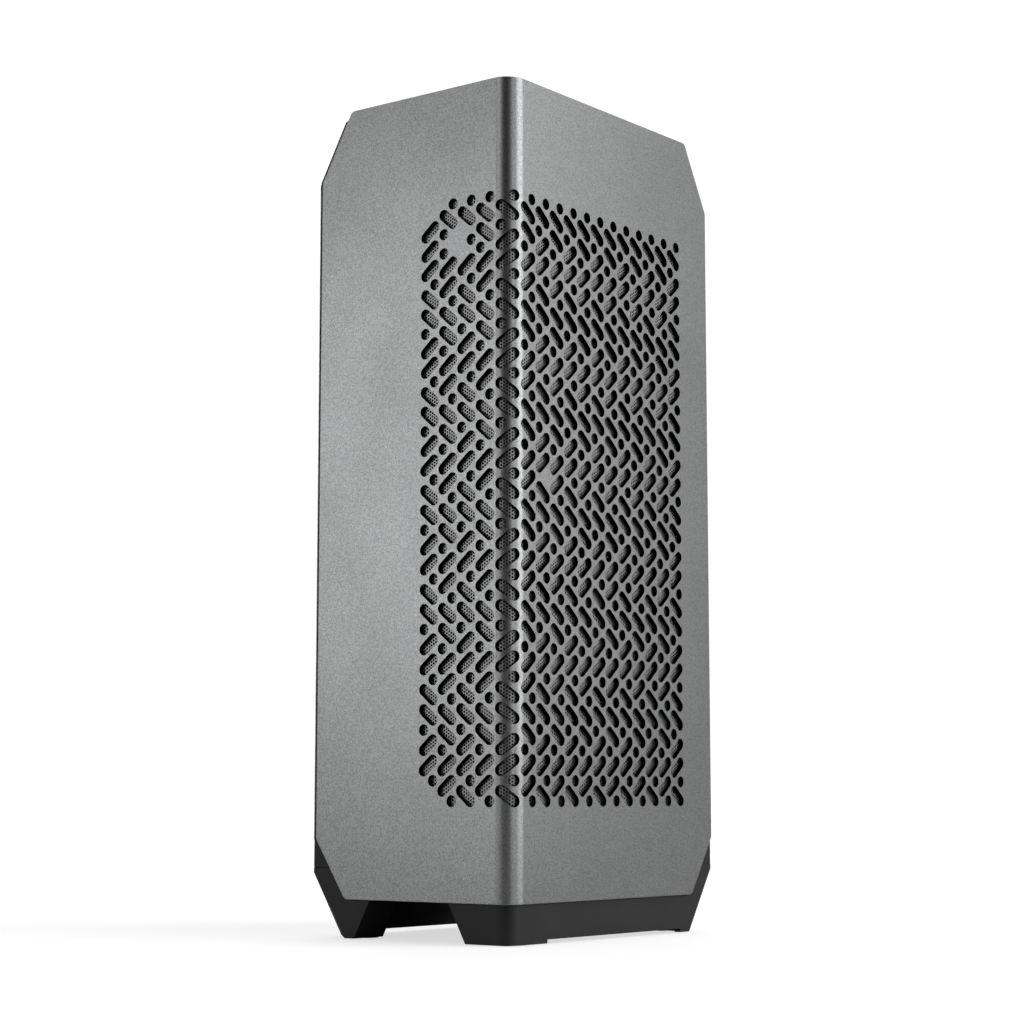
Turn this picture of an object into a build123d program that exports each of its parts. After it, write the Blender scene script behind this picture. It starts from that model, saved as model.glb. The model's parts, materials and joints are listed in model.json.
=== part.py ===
from build123d import *
import os
from math import atan2, cos, degrees, radians, sin

# Desktop computer tower, in millimetres, +Z up, origin at the centre of its footprint on the floor.
# Two bent and perforated shells, each turned half a turn from the other, wrap a frame that carries
# a motherboard on one side of a spine plate and a graphics card on the other.

# ---- driving dimensions -------------------------------------------------------------------------
WIDTH = 200.6
DEPTH = 145.0
HEIGHT = 475.0

SHELL_THICKNESS = 2.0
BEND_RADIUS = 11.5
SHELL_BOTTOM = 21.9
SHELL_WIDE_LENGTH = 196.2
SHELL_NARROW_LENGTH = 139.2
TOP_CUT = (22.4, 39.5)
BOTTOM_CUT = (21.8, 33.1)
CUT_FILLET = 4.0

HOLE_RADIUS = 2.95
COLUMN_STEP = 6.55
ROW_STEP = 5.52
ROW_COUNT = 61
TOP_ROW_Z = 407.7
FIRST_COLUMN = -4
LAST_COLUMN = 12
ROW_PERIOD = 10
WIDE_FIRST_LINE = 2.77
NARROW_FIRST_LINE = 4.70

MESH_THICKNESS = 0.4
MESH_GAP = 0.45
MESH_HEM_HEIGHT = 3.0
MESH_HEM_GAP = 0.05
MESH_BOTTOM = 66.0
MESH_TOP = 414.0

FRAME_GAP = 0.3
BASE_BOTTOM = 0.4
BASE_TOP = 39.0
DECK_TOP = 62.0
RING_BOTTOM = 415.0
LIP_BOTTOM = 429.0
RING_TOP = 436.0
COVER_BOTTOM = 436.3
COVER_TOP = 471.0
WALL = 4.0
LAP = 2.0
FACET_RUN = 23.7

FAN_CENTRE_X = -14.0
FAN_SIDE = 120.0
FAN_SCREW_SPACING = 105.0
FAN_SCREW_HOLE = 2.2
PSU_X = (-74.0, 51.0)
PSU_Y = (5.0, 68.5)
PSU_Z = (265.0, 365.0)
RADIATOR_BOTTOM = 408.0
RADIATOR_TOP = 434.0
SHAFT_RADIUS = 1.5
SHAFT_GAP = 0.05

LEFT = -WIDTH / 2
FRONT = -DEPTH / 2
FRAME_X = WIDTH / 2 - SHELL_THICKNESS - FRAME_GAP
FRAME_Y = DEPTH / 2 - SHELL_THICKNESS - FRAME_GAP
WIDE_END = LEFT + SHELL_WIDE_LENGTH
NARROW_END = FRONT + SHELL_NARROW_LENGTH
UPRIGHT = (0, 0, 1)
DOWNWARD = (0, 0, -1)
REARWARD = (0, 1, 0)
SIDEWAYS = (1, 0, 0)

os.makedirs("parts", exist_ok=True)


# ---- helpers ------------------------------------------------------------------------------------
def save(piece, name):
    """Label a finished piece and write it as its own file."""
    piece.label = name
    export_step(piece, f"parts/{name}.step")


def block(x, y, z, mode=Mode.ADD):
    """Add a box between the low and high limits given for each axis."""
    spans = (x, y, z)
    with Locations([(sum(x) / 2, sum(y) / 2, sum(z) / 2)]):
        Box(*[high - low for low, high in spans], mode=mode)


def rod(base, along, radius, length, mode=Mode.ADD):
    """Add a cylinder that starts at base and runs along the given direction."""
    with Locations(Plane(base, z_dir=along)):
        Cylinder(radius, length, align=(Align.CENTER, Align.CENTER, Align.MIN), mode=mode)


def half_turned(part):
    """The same piece turned half a turn about the tower's upright axis."""
    with BuildPart() as turned:
        add(part, rotation=(0, 0, 180))
    return turned.part


def corner_sheet(outer, inner, wide_end, narrow_end, bottom, top):
    """Upright sheet bent round the front left corner, between two depths behind the outer face."""
    with BuildPart() as sheet:
        with BuildSketch(Plane.XY.offset(bottom)):
            with BuildLine():
                ends = []
                for depth in (outer, inner):
                    corner = (LEFT + depth, FRONT + depth)
                    path = FilletPolyline(
                        (wide_end, corner[1]), corner, (corner[0], narrow_end),
                        radius=BEND_RADIUS - depth,
                    )
                    ends.append((path @ 0, path @ 1))
                Line(ends[0][0], ends[1][0])
                Line(ends[0][1], ends[1][1])
            make_face()
        extrude(amount=top - bottom)
    return sheet.part


def facet_plane(side_x, side_y, tip_z, run, rise):
    """Plane that cuts a vertical frame corner: it starts at tip_z and leans inward by run over rise."""
    corner = (side_x * FRAME_X, side_y * FRAME_Y, tip_z)
    normal = (side_x * abs(rise), side_y * abs(rise), run if rise > 0 else -run)
    return Plane(corner, z_dir=normal)


def frame_outline(inset=0.0):
    """Plan of the frame inside the shells, with the two corners under the bends rounded."""
    with BuildSketch() as outline:
        Rectangle(2 * (FRAME_X - inset), 2 * (FRAME_Y - inset))
        bends = outline.vertices().filter_by(lambda v: v.X * v.Y > 0)
        fillet(bends, radius=BEND_RADIUS - SHELL_THICKNESS - inset / 2)
    return outline.sketch


def tube(points, radii, diameter):
    """Round cable or hose along straight runs joined by tangent arcs."""
    with BuildPart() as run:
        with BuildLine():
            path = FilletPolyline(*points, radius=radii)
        with BuildSketch(Plane(path @ 0, z_dir=path % 0)):
            Circle(diameter / 2)
        sweep(path=path)
    return run.part


def fan_rotor(radius, hub_radius, depth, blades):
    """Fan wheel about +Z from z = 0 to depth: hub with a stub shaft below and twisted blades."""
    with BuildPart() as blade:
        for reach, chord, angle in ((hub_radius - 1, 0.38, 46), (radius, 0.52, 28)):
            with BuildSketch(Plane((reach, 0, depth / 2), x_dir=(0, 1, 0), z_dir=(1, 0, 0))):
                Rectangle(chord * radius, 1.4, rotation=angle)
        loft()
    with BuildPart() as rotor:
        Cylinder(hub_radius, depth, align=(Align.CENTER, Align.CENTER, Align.MIN))
        fillet(rotor.faces().sort_by(Axis.Z)[-1].edges(), radius=1.5)
        with PolarLocations(0, blades):
            add(blade.part)
        with BuildSketch(Plane.XY.offset(-depth)):
            Circle(1.5 * radius)
            Circle(radius, mode=Mode.SUBTRACT)
        extrude(amount=3 * depth, mode=Mode.SUBTRACT)
        rod((0, 0, 0), DOWNWARD, SHAFT_RADIUS, 5.0)
    return rotor.part


def placed(part, origin, x_dir, z_dir):
    """A piece drawn at the origin, moved to its place in the tower."""
    with BuildPart() as moved:
        with Locations(Plane(origin, x_dir=x_dir, z_dir=z_dir)):
            add(part)
    return moved.part


# ---- hole pattern of the shells -----------------------------------------------------------------
# Each column has a left and a right line of punch points, half a column step either side. Left
# points lie on odd rows and right points on even rows. A slot joins neighbours one row apart. The
# links repeat every ten rows, two rows later in each odd column.
COLUMN_LINKS = (
    (("left", 3),),
    (("left", 5), ("right", 4)),
    (("left", 7), ("right", 6)),
    (("right", 8),),
    (("left", 9), ("right", 10)),
    (("left", 11), ("right", 12)),
)
ROUNDED_CORNER_SLOT = ((-8.5, 3), (-7.5, 2))
BLANK_POINTS = {
    (-8.5, 1), (-8.5, 3), (-8.5, 59), (-7.5, 0), (-7.5, 2), (-7.5, 60),
    (-5.5, 4), (-4.5, 3), (-4.5, 5), (4.5, 28),
}
BEND_START = -1.038
BEND_END = 1.333


def punched_holes():
    """Every hole as its punch points (line, row): one for a dot, two for a slot."""
    holes = [ROUNDED_CORNER_SLOT]
    for column in range(FIRST_COLUMN, LAST_COLUMN + 1):
        line = {"left": 2 * column - 0.5, "right": 2 * column + 0.5}
        for start in range(2 * (column % 2) - ROW_PERIOD, ROW_COUNT, ROW_PERIOD):
            for link in COLUMN_LINKS:
                points = [(line[side], start + row) for side, row in link]
                points = [p for p in points if 0 <= p[1] < ROW_COUNT and p not in BLANK_POINTS]
                if points:
                    holes.append(points)
    return holes


def punch(points):
    """Add a round hole at one point, or a slot between two, to the sketch being drawn."""
    first, last = Vector(*points[0]), Vector(*points[-1])
    run = last - first
    with Locations((first + last) * 0.5):
        if run.length < HOLE_RADIUS:
            Circle(HOLE_RADIUS)
        else:
            SlotCenterToCenter(run.length, 2 * HOLE_RADIUS, rotation=degrees(atan2(run.Y, run.X)))


def row_z(row):
    return TOP_ROW_Z - ROW_STEP * row


def wide_place(point):
    """Punch point on the wide face, as X and Z."""
    return (LEFT + WIDE_FIRST_LINE + COLUMN_STEP * point[0], row_z(point[1]))


def narrow_place(point):
    """Punch point on the narrow face, as Y and Z."""
    return (FRONT + NARROW_FIRST_LINE - COLUMN_STEP * point[0], row_z(point[1]))


def bend_angle(line):
    """Degrees round the bend, from the narrow face's normal towards the wide face's."""
    return 90 * (line - BEND_START) / (BEND_END - BEND_START)


BEND_MIDDLE = bend_angle(0)
BEND_NORMAL = (-cos(radians(BEND_MIDDLE)), -sin(radians(BEND_MIDDLE)), 0)
BEND_TANGENT = (sin(radians(BEND_MIDDLE)), -cos(radians(BEND_MIDDLE)), 0)
BEND_CENTRE = Vector(LEFT + BEND_RADIUS, FRONT + BEND_RADIUS, 0)


def bend_place(point):
    """Punch point of the middle column, on the plane that faces the middle of the bend."""
    return (BEND_RADIUS * sin(radians(bend_angle(point[0]) - BEND_MIDDLE)), row_z(point[1]))


# ---- shells -------------------------------------------------------------------------------------
CUT_DEPTH = 2 * SHELL_THICKNESS
wide_plane = Plane.XZ.offset(-FRONT + 1)
narrow_plane = Plane.YZ.offset(LEFT - 1)
bend_plane = Plane(
    BEND_CENTRE + Vector(*BEND_NORMAL) * (BEND_RADIUS + 1), x_dir=BEND_TANGENT, z_dir=BEND_NORMAL
)

with BuildPart() as front_shell:
    add(corner_sheet(0, SHELL_THICKNESS, WIDE_END, NARROW_END, SHELL_BOTTOM, HEIGHT))
    for plane, end, depth in ((wide_plane, WIDE_END, -CUT_DEPTH), (narrow_plane, NARROW_END, CUT_DEPTH)):
        with BuildSketch(plane):
            Polygon(
                (end - TOP_CUT[0], HEIGHT), (end, HEIGHT - TOP_CUT[1]),
                (end + 5, HEIGHT - TOP_CUT[1]), (end + 5, HEIGHT + 5), (end - TOP_CUT[0], HEIGHT + 5),
                align=None,
            )
            Polygon(
                (end - BOTTOM_CUT[0], SHELL_BOTTOM), (end, SHELL_BOTTOM + BOTTOM_CUT[1]),
                (end + 5, SHELL_BOTTOM + BOTTOM_CUT[1]), (end + 5, SHELL_BOTTOM - 5),
                (end - BOTTOM_CUT[0], SHELL_BOTTOM - 5),
                align=None,
            )
        extrude(amount=depth, mode=Mode.SUBTRACT)
    for axis in (Axis.X, Axis.Y):
        cut_corners = front_shell.edges().filter_by(axis).filter_by(lambda e: e.length < CUT_DEPTH)
        fillet(cut_corners, radius=CUT_FILLET)
    holes = punched_holes()
    wide_holes = [h for h in holes if h[0][0] > 1]
    narrow_holes = [h for h in holes if h[0][0] < -1]
    bend_holes = [h for h in holes if abs(h[0][0]) < 1]
    for plane, group, place, depth in (
        (wide_plane, wide_holes, wide_place, -CUT_DEPTH),
        (narrow_plane, narrow_holes, narrow_place, CUT_DEPTH),
        (bend_plane, bend_holes, bend_place, -CUT_DEPTH - 1),
    ):
        with BuildSketch(plane):
            for hole in group:
                punch([place(point) for point in hole])
        extrude(amount=depth, mode=Mode.SUBTRACT)
save(front_shell.part, "front_shell")
rear_shell = half_turned(front_shell.part)
save(rear_shell, "rear_shell")

# ---- dust meshes --------------------------------------------------------------------------------
MESH_WIDE_END = 78.0
MESH_NARROW_END = 2.5
mesh_depth = SHELL_THICKNESS + MESH_GAP
hem_depth = SHELL_THICKNESS + MESH_HEM_GAP
mesh_back = mesh_depth + MESH_THICKNESS
with BuildPart() as dust_mesh:
    for depth, bottom, top in (
        (mesh_depth, MESH_BOTTOM, MESH_TOP),
        (hem_depth, MESH_BOTTOM, MESH_BOTTOM + MESH_HEM_HEIGHT),
        (hem_depth, MESH_TOP - MESH_HEM_HEIGHT, MESH_TOP),
    ):
        add(corner_sheet(depth, mesh_back, MESH_WIDE_END, MESH_NARROW_END, bottom, top))
front_dust_mesh = dust_mesh.part
save(front_dust_mesh, "front_dust_mesh")
save(half_turned(front_dust_mesh), "rear_dust_mesh")

# ---- catches between shells and frame -----------------------------------------------------------
CATCH_LENGTH = 24.0
CATCH_HEIGHT = 11.0
CATCH_THICKNESS = 1.5
CATCH_LEVELS = (53.0, 422.0)
WIDE_CATCH_X = (-45.0, 50.0)
NARROW_CATCH_Y = 25.0
MAGNET_LENGTH = 20.0


def catch_row(wide_limits, narrow_limits, length, height):
    """Plates on the wide and narrow faces at each catch level, between the given depths."""
    for level in CATCH_LEVELS:
        z = (level - height / 2, level + height / 2)
        for centre in WIDE_CATCH_X:
            block((centre - length / 2, centre + length / 2), wide_limits, z)
        block(narrow_limits, (NARROW_CATCH_Y - length / 2, NARROW_CATCH_Y + length / 2), z)


with BuildPart() as front_catches:
    inner_y, inner_x = FRONT + SHELL_THICKNESS, LEFT + SHELL_THICKNESS
    catch_row(
        (inner_y, inner_y + CATCH_THICKNESS), (inner_x, inner_x + CATCH_THICKNESS),
        CATCH_LENGTH, CATCH_HEIGHT,
    )
save(front_catches.part, "front_shell_catches")
save(half_turned(front_catches.part), "rear_shell_catches")

with BuildPart() as frame_magnets:
    catch_row(
        (-FRAME_Y + LAP, -FRAME_Y + 2 * LAP), (-FRAME_X + LAP, -FRAME_X + 2 * LAP),
        MAGNET_LENGTH, CATCH_HEIGHT - 2,
    )
    add(half_turned(frame_magnets.part))
save(frame_magnets.part, "frame_magnets")

# ---- base and feet ------------------------------------------------------------------------------
CAVITY_X = 73.0
CAVITY_HOLE = (80.0, 60.0)
FOOT_GAP_X = 64.7
FOOT_GAP_TOP = 2.4
CABLE_WAY = ((-40, 0), (40, 0), (28, 22), (28, 34), (-28, 34), (-28, 22))
PAD_DEPTH = 1.6
PADS = ((-84.0, -54.0, 18.0, 22.0), (-79.5, 46.0, 11.0, 11.0))


def pad_plan():
    """Plan of the four foot pads."""
    with BuildSketch() as plan:
        for x, y, length, width in PADS:
            with Locations((x, y), (-x, -y)):
                RectangleRounded(length, width, 3)
    return plan.sketch


with BuildPart() as base:
    with BuildSketch(Plane.XY.offset(BASE_BOTTOM)):
        add(frame_outline())
    extrude(amount=BASE_TOP - BASE_BOTTOM)
    for side in (1, -1):
        facet = facet_plane(side, -side, BASE_TOP - 2.5, FACET_RUN, BASE_BOTTOM + 2.5 - BASE_TOP)
        split(bisect_by=facet, keep=Keep.BOTTOM)
    block((-CAVITY_X, CAVITY_X), (-FRAME_Y + WALL, FRAME_Y - WALL), (0, BASE_TOP - WALL), Mode.SUBTRACT)
    with BuildSketch(Plane.XY.offset(BASE_TOP - WALL - 1)):
        Rectangle(2 * CAVITY_HOLE[0], 2 * CAVITY_HOLE[1])
    extrude(amount=WALL + 2, mode=Mode.SUBTRACT)
    block((-FOOT_GAP_X, FOOT_GAP_X), (-FRAME_Y - 1, FRAME_Y + 1), (0, FOOT_GAP_TOP), Mode.SUBTRACT)
    with BuildSketch(Plane.YZ.offset(-FRAME_X - 1)):
        Polygon(*CABLE_WAY, align=None)
    extrude(amount=2 * FRAME_X + 2, mode=Mode.SUBTRACT)
    with BuildSketch(Plane.XY.offset(BASE_BOTTOM)):
        add(pad_plan())
    extrude(amount=PAD_DEPTH, mode=Mode.SUBTRACT)
save(base.part, "base")

with BuildPart() as foot_pads:
    with BuildSketch():
        add(pad_plan())
    extrude(amount=BASE_BOTTOM + PAD_DEPTH)
save(foot_pads.part, "foot_pads")

# ---- frame --------------------------------------------------------------------------------------
with BuildPart() as lower_frame:
    with BuildSketch(Plane.XY.offset(BASE_TOP)):
        add(frame_outline())
    extrude(amount=DECK_TOP - BASE_TOP)
    with BuildSketch(Plane.XY.offset(BASE_TOP - 1)):
        add(frame_outline(WALL))
    extrude(amount=DECK_TOP - BASE_TOP - LAP + 1, mode=Mode.SUBTRACT)
    block((-78, 78), (-60, 60), (BASE_TOP, DECK_TOP + 1), Mode.SUBTRACT)
    for side in (1, -1):
        recess_z = (CATCH_LEVELS[0] - 7.5, DECK_TOP - LAP)
        recess_y = sorted((side * (FRAME_Y - LAP), side * (FRAME_Y + 1)))
        recess_x = sorted((side * (FRAME_X - LAP), side * (FRAME_X + 1)))
        block((-72, 72), recess_y, recess_z, Mode.SUBTRACT)
        block(recess_x, (-46, 46), recess_z, Mode.SUBTRACT)
    add(frame_magnets.part, mode=Mode.SUBTRACT)
save(lower_frame.part, "lower_frame")

with BuildPart() as top_frame:
    with BuildSketch(Plane.XY.offset(RING_BOTTOM)):
        Rectangle(2 * (FRAME_X - LAP), 2 * (FRAME_Y - LAP))
    extrude(amount=LIP_BOTTOM - RING_BOTTOM)
    bends = top_frame.edges().filter_by(Axis.Z).filter_by(lambda e: e.center().X * e.center().Y > 0)
    fillet(bends, radius=BEND_RADIUS - SHELL_THICKNESS)
    with BuildSketch(Plane.XY.offset(LIP_BOTTOM)):
        add(frame_outline())
    extrude(amount=RING_TOP - LIP_BOTTOM)
    with BuildSketch(Plane.XY.offset(RING_BOTTOM - 1)):
        Rectangle(2 * (FRAME_X - LAP - WALL), 2 * (FRAME_Y - LAP - WALL))
    extrude(amount=RING_TOP - LAP - RING_BOTTOM + 1, mode=Mode.SUBTRACT)
    rod((FAN_CENTRE_X, 0, RADIATOR_TOP - 1), UPRIGHT, 58.0, 5.0, Mode.SUBTRACT)
    block((66, 86), (-34, 34), (RADIATOR_TOP - 1, RING_TOP + 1), Mode.SUBTRACT)
    with BuildSketch(Plane.XY.offset(RADIATOR_TOP - 1)):
        with Locations((FAN_CENTRE_X, 0)):
            with GridLocations(FAN_SCREW_SPACING, FAN_SCREW_SPACING, 2, 2):
                Circle(FAN_SCREW_HOLE)
    extrude(amount=5, mode=Mode.SUBTRACT)
    add(frame_magnets.part, mode=Mode.SUBTRACT)
save(top_frame.part, "top_frame")

POST_LEG = 16.0
BEND_POST_LEG = 22.0
BEND_POST_DEPTH = 5.0
with BuildPart() as corner_posts:
    leg_x, leg_y = -FRAME_X, FRAME_Y
    block((leg_x, leg_x + LAP), (leg_y - POST_LEG, leg_y), (DECK_TOP, LIP_BOTTOM))
    block((leg_x, leg_x + POST_LEG), (leg_y - LAP, leg_y), (DECK_TOP, LIP_BOTTOM))
    add(corner_sheet(
        BEND_POST_DEPTH, BEND_POST_DEPTH + LAP,
        LEFT + BEND_POST_DEPTH + BEND_POST_LEG, FRONT + BEND_POST_DEPTH + BEND_POST_LEG,
        DECK_TOP, RING_BOTTOM,
    ))
    add(half_turned(corner_posts.part))
save(corner_posts.part, "corner_posts")

SPINE_FACE = -3.8
SPINE_BACK = -5.0
with BuildPart() as spine:
    block((-94, 94), (SPINE_BACK, SPINE_FACE), (DECK_TOP, RING_BOTTOM))
    block((-90, 90), (SPINE_BACK - 1, SPINE_FACE + 1), (404, RING_BOTTOM + 1), Mode.SUBTRACT)
    block((66, 87), (SPINE_BACK - 1, SPINE_FACE + 1), (238, 262), Mode.SUBTRACT)
    block((-96, -84), (SPINE_BACK - 1, SPINE_FACE + 1), (80, 176), Mode.SUBTRACT)
    with BuildSketch(Plane.XZ.offset(-SPINE_FACE - 1)):
        with Locations((0, 215)):
            with GridLocations(18, 12, 7, 3):
                SlotOverall(14, 5)
    extrude(amount=4, both=True, mode=Mode.SUBTRACT)
    for z in (PSU_Z[0] + 6, PSU_Z[1] - 12):
        for x in (PSU_X[0] + 8, PSU_X[1] - 20):
            block((x, x + 12), (SPINE_FACE, PSU_Y[0]), (z, z + 6))
save(spine.part, "spine")

# ---- cap ----------------------------------------------------------------------------------------
COVER_WALL = 2.0
VENT_X = (-84.0, 58.0)
VENT_Y = (-60.0, 60.0)
PANEL_X = (64.0, 88.0)
PANEL_Y = (-36.0, 36.0)
PANEL_TOP = COVER_TOP + 0.6


def cover_facets():
    """Cut the two corners away from the bends parallel to the slanted edges of the shells."""
    for side in (1, -1):
        split(bisect_by=facet_plane(side, -side, RING_TOP, *TOP_CUT), keep=Keep.BOTTOM)


with BuildPart() as cover_core:
    with BuildSketch(Plane.XY.offset(COVER_BOTTOM - 1)):
        add(frame_outline(COVER_WALL))
    extrude(amount=COVER_TOP - COVER_WALL - COVER_BOTTOM + 1)
    for side in (1, -1):
        inner_facet = facet_plane(side, -side, RING_TOP, *TOP_CUT).offset(-COVER_WALL)
        split(bisect_by=inner_facet, keep=Keep.BOTTOM)

with BuildPart() as top_cover:
    with BuildSketch(Plane.XY.offset(COVER_BOTTOM)):
        add(frame_outline())
    extrude(amount=COVER_TOP - COVER_BOTTOM)
    cover_facets()
    rim = top_cover.faces().sort_by(Axis.Z)[-1].edges()
    fillet(rim, radius=1.5)
    add(cover_core.part, mode=Mode.SUBTRACT)
    with BuildSketch(Plane.XY.offset(COVER_TOP - COVER_WALL - 1)):
        with Locations((sum(VENT_X) / 2, 0)):
            RectangleRounded(VENT_X[1] - VENT_X[0], VENT_Y[1] - VENT_Y[0], 10)
    extrude(amount=COVER_WALL + 2, mode=Mode.SUBTRACT)
    block(
        (PANEL_X[0] - 0.5, PANEL_X[1] + 0.5), (PANEL_Y[0] - 0.5, PANEL_Y[1] + 0.5),
        (COVER_TOP - COVER_WALL - 1, COVER_TOP + 1), Mode.SUBTRACT,
    )
save(top_cover.part, "top_cover")

VENT_PITCH = 7.5
with BuildPart() as top_mesh:
    with BuildSketch(Plane.XY.offset(COVER_TOP - COVER_WALL - 1)):
        with Locations((sum(VENT_X) / 2, 0)):
            RectangleRounded(VENT_X[1] - VENT_X[0] + 5, VENT_Y[1] - VENT_Y[0] + 5, 11)
            with GridLocations(VENT_PITCH, VENT_PITCH, 18, 15):
                Circle(2.6, mode=Mode.SUBTRACT)
    extrude(amount=1)
save(top_mesh.part, "top_mesh")

# ---- panel with the power button and sockets, under the cap -------------------------------------
PANEL_MID = sum(PANEL_X) / 2
BUTTON_Y = 24.0
BUTTON_RADIUS = 7.0
JACK_Y = -28.0
USB_A_Y = (-2.0, -15.5)
USB_C_Y = 9.5
BOARD_Z = 452.0

with BuildPart() as io_housing:
    block(PANEL_X, PANEL_Y, (RING_TOP, PANEL_TOP))
    fillet(io_housing.edges().filter_by(Axis.Z), radius=3)
    block(
        (PANEL_X[0] + 2, PANEL_X[1] - 2), (PANEL_Y[0] + 2, PANEL_Y[1] - 2),
        (RING_TOP - 1, PANEL_TOP - 2), Mode.SUBTRACT,
    )
    rod((PANEL_MID, BUTTON_Y, PANEL_TOP - 3), UPRIGHT, BUTTON_RADIUS + 0.4, 5, Mode.SUBTRACT)
    rod((PANEL_MID, JACK_Y, PANEL_TOP - 3), UPRIGHT, 3.0, 5, Mode.SUBTRACT)
    with BuildSketch(Plane.XY.offset(PANEL_TOP - 3)):
        with Locations(*[(PANEL_MID, y) for y in USB_A_Y]):
            Rectangle(13.6, 6.1)
        with Locations((PANEL_MID, USB_C_Y)):
            RectangleRounded(9.6, 3.8, 1.8)
    extrude(amount=5, mode=Mode.SUBTRACT)
save(io_housing.part, "io_housing")

with BuildPart() as io_board:
    block((PANEL_X[0] + 2, PANEL_X[1] - 2), (PANEL_Y[0] + 2, PANEL_Y[1] - 2), (BOARD_Z, BOARD_Z + 1.6))
    block((PANEL_MID - 3, PANEL_MID + 3), (BUTTON_Y - 3, BUTTON_Y + 3), (BOARD_Z + 1.6, BOARD_Z + 4.6))
    rod((PANEL_MID, BUTTON_Y, BOARD_Z + 4.6), UPRIGHT, 1.7, 0.8)
save(io_board.part, "io_board")

with BuildPart() as usb_ports:
    for y in USB_A_Y:
        block((PANEL_MID - 6.6, PANEL_MID + 6.6), (y - 2.85, y + 2.85), (BOARD_Z + 1.6, PANEL_TOP - 0.2))
        block(
            (PANEL_MID - 6.1, PANEL_MID + 6.1), (y - 2.35, y + 2.35), (BOARD_Z + 5, PANEL_TOP),
            Mode.SUBTRACT,
        )
        block((PANEL_MID - 5.2, PANEL_MID + 5.2), (y + 0.2, y + 1.9), (BOARD_Z + 4, PANEL_TOP - 1))
    with BuildSketch(Plane.XY.offset(BOARD_Z + 1.6)):
        with Locations((PANEL_MID, USB_C_Y)):
            RectangleRounded(9.0, 3.2, 1.5)
    extrude(amount=PANEL_TOP - BOARD_Z - 1.8)
    with BuildSketch(Plane.XY.offset(BOARD_Z + 8)):
        with Locations((PANEL_MID, USB_C_Y)):
            RectangleRounded(8.4, 2.6, 1.25)
    extrude(amount=PANEL_TOP - BOARD_Z - 8, mode=Mode.SUBTRACT)
    block((PANEL_MID - 3.3, PANEL_MID + 3.3), (USB_C_Y - 0.35, USB_C_Y + 0.35), (BOARD_Z + 7, PANEL_TOP - 1))
save(usb_ports.part, "usb_ports")

with BuildPart() as audio_jack:
    block((PANEL_MID - 4, PANEL_MID + 4), (JACK_Y - 3.6, JACK_Y + 3.6), (BOARD_Z + 1.6, PANEL_TOP - 2.3))
    rod((PANEL_MID, JACK_Y, PANEL_TOP - 4), UPRIGHT, 2.9, 4)
    rod((PANEL_MID, JACK_Y, BOARD_Z + 4), UPRIGHT, 1.8, 18, Mode.SUBTRACT)
save(audio_jack.part, "audio_jack")

BUTTON_FOOT = BOARD_Z + 7.0
with BuildPart() as power_button:
    rod((PANEL_MID, BUTTON_Y, BUTTON_FOOT), UPRIGHT, BUTTON_RADIUS, PANEL_TOP + 0.8 - BUTTON_FOOT)
    fillet(power_button.faces().sort_by(Axis.Z)[-1].edges(), radius=0.6)
    rod((PANEL_MID, BUTTON_Y, PANEL_TOP - 3.9), UPRIGHT, BUTTON_RADIUS + 1.6, 1.6)
save(power_button.part, "power_button")

# ---- radiator and its fan -----------------------------------------------------------------------
RADIATOR_X = (-88.0, 69.0)
CORE_X = (-74.0, 46.0)
RADIATOR_Y = 60.0
HOSE_X = 64.0
HOSE_DIAMETER = 11.0
HOSE_Y = (44.0, 58.0)
TUBE_COUNT = 13
FIN_COUNT = 44

with BuildPart() as radiator_tanks:
    for x in ((RADIATOR_X[0], CORE_X[0]), (CORE_X[1], RADIATOR_X[1])):
        block(x, (-RADIATOR_Y, RADIATOR_Y), (RADIATOR_BOTTOM, RADIATOR_TOP))
    fillet(radiator_tanks.edges().filter_by(Axis.Z), radius=2)
    for side in (1, -1):
        rail = sorted((side * (RADIATOR_Y - 2), side * RADIATOR_Y))
        block((CORE_X[0] - 3, CORE_X[1] + 3), rail, (RADIATOR_BOTTOM, RADIATOR_TOP))
save(radiator_tanks.part, "radiator_tanks")

with BuildPart() as radiator_core:
    core_mid = sum(CORE_X) / 2
    core_z = (RADIATOR_BOTTOM + RADIATOR_TOP) / 2
    core_length = CORE_X[1] - CORE_X[0]
    with Locations((core_mid, 0, core_z)):
        with GridLocations(1, 2 * (RADIATOR_Y - 2) / TUBE_COUNT, 1, TUBE_COUNT):
            Box(core_length, 2, 20)
        with GridLocations(core_length / FIN_COUNT, 1, FIN_COUNT, 1):
            Box(0.5, 2 * (RADIATOR_Y - 2), 19)
save(radiator_core.part, "radiator_core")

FAN_BASE = RING_TOP
FAN_HEIGHT = 25.0
FAN_BORE = 57.5
with BuildPart() as radiator_fan_frame:
    with BuildSketch(Plane.XY.offset(FAN_BASE)):
        with Locations((FAN_CENTRE_X, 0)):
            RectangleRounded(FAN_SIDE, FAN_SIDE, 6)
            Circle(FAN_BORE, mode=Mode.SUBTRACT)
            with GridLocations(FAN_SCREW_SPACING, FAN_SCREW_SPACING, 2, 2):
                Circle(FAN_SCREW_HOLE, mode=Mode.SUBTRACT)
    extrude(amount=FAN_HEIGHT)
    for side in (1, -1):
        for turn in (0, 90):
            with BuildSketch(Plane.XY.offset(FAN_BASE + 4)):
                with Locations(Location((FAN_CENTRE_X, 0), turn)):
                    with Locations((0, side * FAN_SIDE / 2)):
                        Rectangle(78, 6)
            extrude(amount=FAN_HEIGHT - 8, mode=Mode.SUBTRACT)
    with BuildSketch(Plane.XY.offset(FAN_BASE)):
        with Locations((FAN_CENTRE_X, 0)):
            Circle(20)
            with PolarLocations(39, 4, start_angle=20):
                Rectangle(40, 4)
    extrude(amount=3)
    rod((FAN_CENTRE_X, 0, FAN_BASE), UPRIGHT, 4, 7)
    rod((FAN_CENTRE_X, 0, FAN_BASE - 1), UPRIGHT, SHAFT_RADIUS + SHAFT_GAP, 9, Mode.SUBTRACT)
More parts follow.
